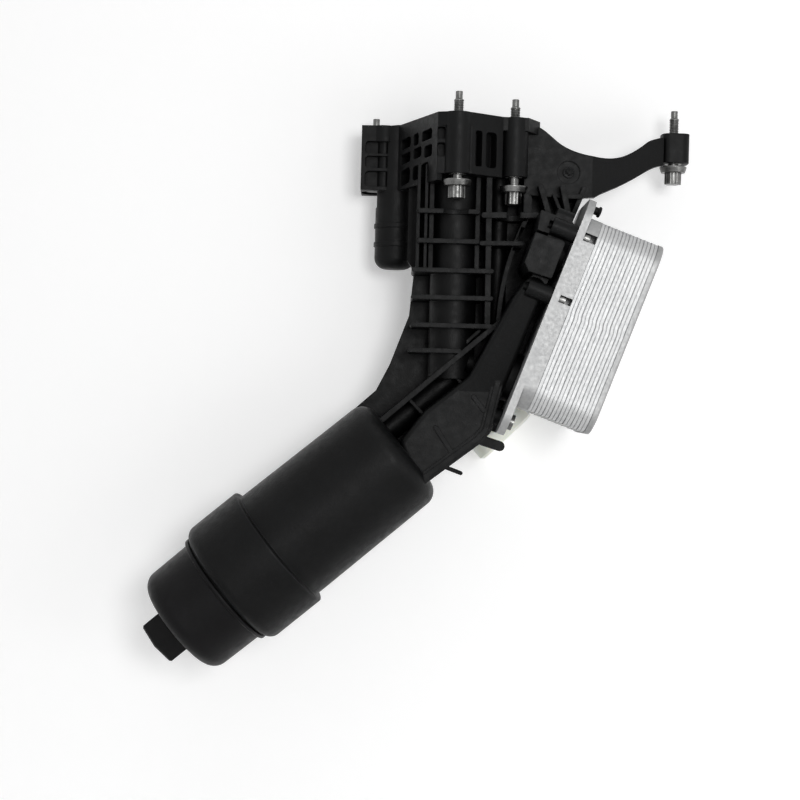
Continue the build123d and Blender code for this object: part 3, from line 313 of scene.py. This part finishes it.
# Filter paper: fibres and the shade between its folds
PAPER_FIBRES = 250.0
PAPER_GRAIN, PAPER_GRAIN_HEIGHT = 1800.0, 0.1 * MM
PAPER_ROUGHNESS = 0.85
PAPER_DARK = (0.5, 0.38, 0.18)
PAPER_LIGHT = (0.68, 0.54, 0.3)
FOLD_REACH = 3.0 * MM
FOLD_TINT = (0.45, 0.42, 0.36)


def filter_paper():
    """Resin-treated filter paper."""
    mat, tree, bsdf = new_material("filter_paper")
    fibres = ramp(tree, noise(tree, PAPER_FIBRES, 5.0), PAPER_DARK, PAPER_LIGHT)
    tree.links.new(shaded(tree, fibres, FOLD_REACH, FOLD_TINT, 0.0, 1.0), bsdf.inputs["Base Color"])
    bsdf.inputs["Roughness"].default_value = PAPER_ROUGHNESS
    tree.links.new(bump(tree, noise(tree, PAPER_GRAIN, 4.0), PAPER_GRAIN_HEIGHT, 0.8), bsdf.inputs["Normal"])
    return mat


bolt_steel = metal("bolt_steel", (0.09, 0.09, 0.088), (0.19, 0.19, 0.186), (0.26, 0.42), 0.02 * MM)
finishes = {
    "housing_plastic": moulded_plastic(
        "housing_plastic", (0.0022, 0.0023, 0.0024), (0.0046, 0.0048, 0.0050), (0.38, 0.54), edge=HOUSING_EDGE
    ),
    "cap_plastic": moulded_plastic(
        "cap_plastic", (0.0024, 0.0023, 0.0026), (0.0048, 0.0046, 0.0051), (0.38, 0.52), edge=HOUSING_EDGE
    ),
    "element_plastic": moulded_plastic("element_plastic", (0.03, 0.03, 0.032), (0.045, 0.045, 0.048), (0.4, 0.55)),
    "rubber": moulded_plastic("rubber", (0.010, 0.010, 0.010), (0.015, 0.015, 0.015), (0.6, 0.8), grain=0.4),
    "bolt_steel": bolt_steel,
    "screw_steel": bolt_steel,
    "sleeve_steel": metal("sleeve_steel", (0.45, 0.45, 0.44), (0.6, 0.6, 0.59), (0.25, 0.45), 0.02 * MM),
    "spring_steel": metal("spring_steel", (0.45, 0.45, 0.46), (0.6, 0.6, 0.6), (0.2, 0.35), 0.01 * MM),
    # A darker copy of the same aluminium as the stack's sheets, painted shade against the light that the base
    # plate's flat face catches
    "cooler_aluminium": brazed_aluminium("cooler_aluminium", (0.27, 0.272, 0.275), (0.36, 0.362, 0.36)),
    "plug_plastic": natural_plastic(),
    "filter_paper": filter_paper(),
}
for subpart in frame["record"]["subparts"]:
    node = frame["nodes"][subpart["node"]]
    node.data.materials.clear()
    node.data.materials.append(finishes[subpart["material_slot"]])


def new_piece(name, shape, body, material_slot):
    """A piece of the object from a bmesh, riding on a body with the finish of a slot."""
    mesh = bpy.data.meshes.new(name)
    shape.to_mesh(mesh)
    shape.free()
    obj = bpy.data.objects.new(name, mesh)
    bpy.context.scene.collection.objects.link(obj)
    mesh.materials.append(finishes[material_slot])
    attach(obj, body)
    return obj


def join_rings(shape, rings, smooth=False, capped=True):
    """Faces between rings of vertices that run the same way round, with both ends closed if capped."""
    if capped:
        shape.faces.new(rings[0][::-1])
    for lower, upper in zip(rings, rings[1:]):
        for k in range(len(lower)):
            n = (k + 1) % len(lower)
            shape.faces.new((lower[k], lower[n], upper[n], upper[k])).smooth = smooth
    if capped:
        shape.faces.new(rings[-1])


# Bolts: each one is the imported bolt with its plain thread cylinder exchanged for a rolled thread
BOLT_PLACES = {"bolt_1": (0.0, 0.0), "bolt_2": (34.4, 16.0), "bolt_3": (136.4, 58.5), "bolt_4": (-49.4, 65.5)}
THREAD_R = 2.98
THREAD_ROOT = 2.50
THREAD_PITCH = 1.0
ROUND_STEPS = 36
PITCH_ROWS = 6
CREST_STEEPNESS = 1.25
RUNOUT = 2.0
LEAD_IN = 0.8
BARREL_LEAST = 2.0
RADIUS_TOLERANCE = 0.012


def threaded_bolt(name, place):
    """A copy of the bolt's shape whose thread is a helix between the same two levels."""
    source = frame["nodes"][name].data
    shape = bmesh.new()
    shape.from_mesh(source)
    x0, y0 = (v * MM for v in place)
    side = []
    for face in shape.faces:
        radii = [math.hypot(v.co.x - x0, v.co.y - y0) for v in face.verts]
        heights = [v.co.z for v in face.verts]
        on_barrel = all(abs(r - THREAD_R * MM) < RADIUS_TOLERANCE * MM for r in radii)
        if on_barrel and max(heights) - min(heights) > BARREL_LEAST * MM:
            side.append(face)
    levels = [v.co.z for face in side for v in face.verts]
    foot, crown = min(levels), max(levels)
    bmesh.ops.delete(shape, geom=side, context="FACES")
    rows = int((crown - foot) / (THREAD_PITCH * MM) * PITCH_ROWS)
    rings = []
    for i in range(rows + 1):
        z = foot + (crown - foot) * i / rows
        fade = min(1.0, (z - foot) / (RUNOUT * MM), (crown - z) / (LEAD_IN * MM))
        ring = []
        for k in range(ROUND_STEPS):
            phase = ((z - foot) / (THREAD_PITCH * MM) - k / ROUND_STEPS) % 1.0
            depth = min(1.0, abs(2 * phase - 1) * CREST_STEEPNESS)
            r = (THREAD_R - (THREAD_R - THREAD_ROOT) * depth * fade) * MM
            angle = 2 * math.pi * k / ROUND_STEPS
            ring.append(shape.verts.new((x0 + r * math.cos(angle), y0 + r * math.sin(angle), z)))
        rings.append(ring)
    join_rings(shape, rings, smooth=True, capped=False)
    bolt = new_piece(f"{name}_threaded", shape, name, "bolt_steel")
    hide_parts(name)


for bolt_name, bolt_place in BOLT_PLACES.items():
    threaded_bolt(bolt_name, bolt_place)

# Cooler: the stack of nested sheets, two to each packed pair, with their lips and the brazed grooves between them
SEAT_ORIGIN = Vector((51.6, 16.0, -118.5))
SEAT_TILT = math.radians(20.3)
SEAT_UP = Vector((math.sin(SEAT_TILT), 0, math.cos(SEAT_TILT)))
SEAT_OUT = Vector((math.cos(SEAT_TILT), 0, -math.sin(SEAT_TILT)))
SEAT_SIDE = SEAT_OUT.cross(SEAT_UP)
STACK_FOOT = 11.8
PAIR_PITCH = 4.4
PAIRS = 8
STACK_LENGTH = 117.4
STACK_WIDTH = 76.0
STACK_SHIFT = 4.4
STACK_CORNER = 13.0
CORNER_STEPS = 12
LONG_STEPS = 64
JOG_AT = 5.8
JOG_HEIGHT = 0.42
JOG_RUN = 1.1
JOG_FADE = 26.0
JOG_FLATNESS = 0.4
# Tones of the stack: a lighter copy of the base plate's brazed aluminium, painted light that makes up for the
# shade on the sheets' slanted lips
PLATE_DARK = (0.44, 0.445, 0.45)
PLATE_LIGHT = (0.56, 0.565, 0.565)
# Height in the pair, and how far the sheet lies inside the outline there
SHEET_PROFILE = (
    (0.0, 0.62),
    (0.13, 0.14),
    (0.34, 0.04),
    (1.85, 0.26),
    (2.02, 0.48),
    (2.16, 0.48),
    (2.34, 0.16),
    (4.05, 0.34),
    (4.26, 0.62),
)


def seat_place(along, side, out):
    """A point in metres from the cooler seat's own coordinates in millimetres."""
    return (SEAT_ORIGIN + SEAT_UP * along + SEAT_SIDE * side + SEAT_OUT * out) * MM


def stack_outline(inset):
    """Points round the stack, moved in by an amount."""
    half_long = STACK_LENGTH / 2 - STACK_CORNER
    half_wide = STACK_WIDTH / 2 - STACK_CORNER
    radius = STACK_CORNER - inset
    points = []
    for quarter, (sx, sy) in enumerate(((1, 1), (-1, 1), (-1, -1), (1, -1))):
        for k in range(CORNER_STEPS + 1):
            angle = math.radians(90 * quarter + 90 * k / CORNER_STEPS)
            points.append((sx * half_long + radius * math.cos(angle), sy * half_wide + radius * math.sin(angle)))
        if quarter in (0, 2):
            level = sy * (half_wide + radius)
            for k in range(1, LONG_STEPS):
                points.append((sx * half_long * (1 - 2 * k / LONG_STEPS), level))
    return points


def sheet_jog(along, height_share):
    """How far the sheets step down at a place along the stack, most in the middle sheets."""
    near = math.exp(-(((along - JOG_AT) / JOG_FADE) ** 2)) * math.sin(math.pi * height_share) ** JOG_FLATNESS
    return -JOG_HEIGHT * math.tanh((along - JOG_AT) / JOG_RUN) * near


def cooler_stack():
    """The stack of sheets as one closed shell of rings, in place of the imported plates."""
    shape = bmesh.new()
    height = PAIRS * PAIR_PITCH
    rows = [(pair * PAIR_PITCH + h, inset) for pair in range(PAIRS) for h, inset in SHEET_PROFILE]
    rows.append((height, SHEET_PROFILE[0][1]))
    rings = []
    for h, inset in rows:
        ring = []
        for x, y in stack_outline(inset):
            along = x + STACK_SHIFT
            ring.append(shape.verts.new(seat_place(along, y, STACK_FOOT + h + sheet_jog(along, h / height))))
        rings.append(ring)
    join_rings(shape, rings)
    stack = new_piece("cooler_stack", shape, "housing", "cooler_aluminium")
    # The stack takes the lighter copy of the aluminium, painted light for its shaded lips
    stack.data.materials[0] = brazed_aluminium("stack_aluminium_lighter_copy", PLATE_DARK, PLATE_LIGHT)
    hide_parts(*(f"{kind}_plate_{i + 1}" for i in range(PAIRS) for kind in ("oil", "water")))


cooler_stack()

# Gate mark on the gusset: the torn stub of the moulding's sprue, in its ring
GATE = Vector((68.2, 22.0, -29.8))
GATE_HALF = (2.3, 0.7, 2.1)
GATE_ROUGHNESS = ((2.3, 0.45), (6.1, 0.2))


def gate_stub():
    """A rough, flattened lump."""
    shape = bmesh.new()
    bmesh.ops.create_icosphere(shape, subdivisions=4, radius=1.0)
    for v in shape.verts:
        rough = sum(noise_value(v.co * scale) * share for scale, share in GATE_ROUGHNESS)
        v.co = v.co * (1.0 + rough)
        half_x, half_y, half_z = GATE_HALF
        v.co = (GATE + Vector((v.co.x * half_x, v.co.z * half_y, v.co.y * half_z))) * MM
    new_piece("gate_stub", shape, "housing", "housing_plastic")


gate_stub()

# Heat-staked pin that holds the base plate's upper end to the moulding
PIN_AT = (69.5, 17.0)
PIN_FOOT = 4.4
PIN_STEPS = 24
PIN_PROFILE = ((0.0, 2.4), (3.4, 2.4), (3.5, 3.1), (4.6, 3.3), (5.2, 2.9), (5.5, 1.6))


def staked_pin():
    """A turned pin with a mushroomed head."""
    shape = bmesh.new()
    rings = []
    for out, radius in PIN_PROFILE:
        ring = []
        for k in range(PIN_STEPS):
            angle = 2 * math.pi * k / PIN_STEPS
            along, side = PIN_AT[0] + radius * math.cos(angle), PIN_AT[1] + radius * math.sin(angle)
            ring.append(shape.verts.new(seat_place(along, side, PIN_FOOT + out)))
        rings.append(ring)
    join_rings(shape, rings)
    new_piece("staked_pin", shape, "housing", "housing_plastic")


staked_pin()

# White surroundings: white to the camera, to gloss and through glass, and plain light elsewhere
WORLD_LIGHT = 0.36
WORLD_SEEN = 1.0
WHITE_RAYS = ("Is Camera Ray", "Is Glossy Ray", "Is Transmission Ray")


def seen_rays(tree):
    """1 for the rays to which the background shows as white."""
    rays = tree.nodes.new("ShaderNodeLightPath")
    total = rays.outputs[WHITE_RAYS[0]]
    for name in WHITE_RAYS[1:]:
        seen = tree.nodes.new("ShaderNodeMath")
        seen.operation = "MAXIMUM"
        tree.links.new(total, seen.inputs[0])
        tree.links.new(rays.outputs[name], seen.inputs[1])
        total = seen.outputs[0]
    return total


world = bpy.data.worlds.new("studio")
bpy.context.scene.world = world
world.use_nodes = True
world_tree = world.node_tree
background = world_tree.nodes["Background"]
background.inputs["Color"].default_value = (*WHITE, 1)
background.inputs["Strength"].default_value = WORLD_LIGHT
bright = world_tree.nodes.new("ShaderNodeBackground")
bright.inputs["Color"].default_value = (*WHITE, 1)
bright.inputs["Strength"].default_value = WORLD_SEEN
mix = world_tree.nodes.new("ShaderNodeMixShader")
world_tree.links.new(seen_rays(world_tree), mix.inputs["Fac"])
world_tree.links.new(background.outputs[0], mix.inputs[1])
world_tree.links.new(bright.outputs[0], mix.inputs[2])
world_tree.links.new(mix.outputs[0], world_tree.nodes["World Output"].inputs["Surface"])

# Backdrop and floor: pale surfaces that keep the shadow, lifted to white for the same rays
BACKDROP_Y = 0.088
FLOOR_Z = -0.46
STAGE_TONE = (0.86, 0.86, 0.86)
STAGE_ROUGHNESS = 0.9
STAGE_LIFT = 0.29


def pale_surface(name, middle, fade, one_sided):
    """A pale surface, lifted to white where it is seen, that fades out round its middle.

    A one-sided one is clear from behind, and lets the light of the rear lamps through.
    """
    mat, tree, bsdf = new_material(name)
    bsdf.inputs["Base Color"].default_value = (*STAGE_TONE, 1)
    bsdf.inputs["Roughness"].default_value = STAGE_ROUGHNESS
    bsdf.inputs["Specular IOR Level"].default_value = 0.0
    bsdf.inputs["Emission Color"].default_value = (*WHITE, 1)
    lift = tree.nodes.new("ShaderNodeMath")
    lift.operation = "MULTIPLY"
    lift.inputs[1].default_value = STAGE_LIFT
    tree.links.new(seen_rays(tree), lift.inputs[0])
    tree.links.new(lift.outputs[0], bsdf.inputs["Emission Strength"])
    clear = tree.nodes.new("ShaderNodeBsdfTransparent")
    geometry = tree.nodes.new("ShaderNodeNewGeometry")
    away = tree.nodes.new("ShaderNodeVectorMath")
    away.operation = "DISTANCE"
    away.inputs[1].default_value = middle
    tree.links.new(geometry.outputs["Position"], away.inputs[0])
    gone = spread(tree, away.outputs["Value"], 0.0, 1.0, *fade)
    if one_sided:
        rays = tree.nodes.new("ShaderNodeLightPath")
        for unseen in (geometry.outputs["Backfacing"], rays.outputs["Is Shadow Ray"]):
            hidden = tree.nodes.new("ShaderNodeMath")
            hidden.operation = "MAXIMUM"
            tree.links.new(gone, hidden.inputs[0])
            tree.links.new(unseen, hidden.inputs[1])
            gone = hidden.outputs[0]
    sides = tree.nodes.new("ShaderNodeMixShader")
    tree.links.new(gone, sides.inputs["Fac"])
    tree.links.new(bsdf.outputs[0], sides.inputs[1])
    tree.links.new(clear.outputs[0], sides.inputs[2])
    tree.links.new(sides.outputs[0], tree.nodes["Material Output"].inputs["Surface"])
    return mat


def stage_plane(name, corners, finish):
    """A flat part of the studio."""
    mesh = bpy.data.meshes.new(name)
    mesh.from_pydata(corners, [], [(0, 1, 2, 3)])
    mesh.materials.append(finish)
    obj = bpy.data.objects.new(name, mesh)
    bpy.context.scene.collection.objects.link(obj)


WALL_MIDDLE = (-0.03, BACKDROP_Y, -0.17)
FLOOR_MIDDLE = (-0.03, 0.0, FLOOR_Z)
WALL_TOP = 1.4
REACH = 1.6
WALL_FADE = (0.36, 0.55)
FLOOR_FADE = (0.5, 1.5)
wall_corners = [(-REACH, FLOOR_Z), (REACH, FLOOR_Z), (REACH, WALL_TOP), (-REACH, WALL_TOP)]
floor_corners = [(-REACH, -REACH), (REACH, -REACH), (REACH, REACH), (-REACH, REACH)]
wall_finish = pale_surface("pale_wall", WALL_MIDDLE, WALL_FADE, one_sided=True)
floor_finish = pale_surface("pale_floor", FLOOR_MIDDLE, FLOOR_FADE, one_sided=False)
stage_plane("backdrop", [(x, BACKDROP_Y, z) for x, z in wall_corners], wall_finish)
stage_plane("floor", [(x, y, FLOOR_Z) for x, y in floor_corners], floor_finish)

# Lamps: place, width and power of each. All point at the middle of the object.
MIDDLE = (-0.02, 0.02, -0.15)
LAMPS = {
    "key": ((0.30, -1.45, 0.0), 0.40, 8.5),
    "fill": ((0.9, -0.7, -0.5), 0.7, 3.0),
    "top": ((-0.1, -0.5, 1.0), 0.8, 1.4),
    "rear": ((-0.5, 1.3, 0.35), 0.8, 7.0),
    "rear_side": ((0.9, 1.0, -0.1), 0.8, 4.0),
}


def area_lamp(name, place, size, power):
    """A soft lamp that points at the middle of the object."""
    data = bpy.data.lights.new(name, "AREA")
    data.shape = "SQUARE"
    data.size = size
    data.energy = power
    lamp = bpy.data.objects.new(name, data)
    lamp.location = place
    lamp.rotation_euler = (Vector(MIDDLE) - Vector(place)).to_track_quat("-Z", "Y").to_euler()
    bpy.context.scene.collection.objects.link(lamp)


for lamp_name, (lamp_place, lamp_size, lamp_power) in LAMPS.items():
    area_lamp(lamp_name, lamp_place, lamp_size, lamp_power)
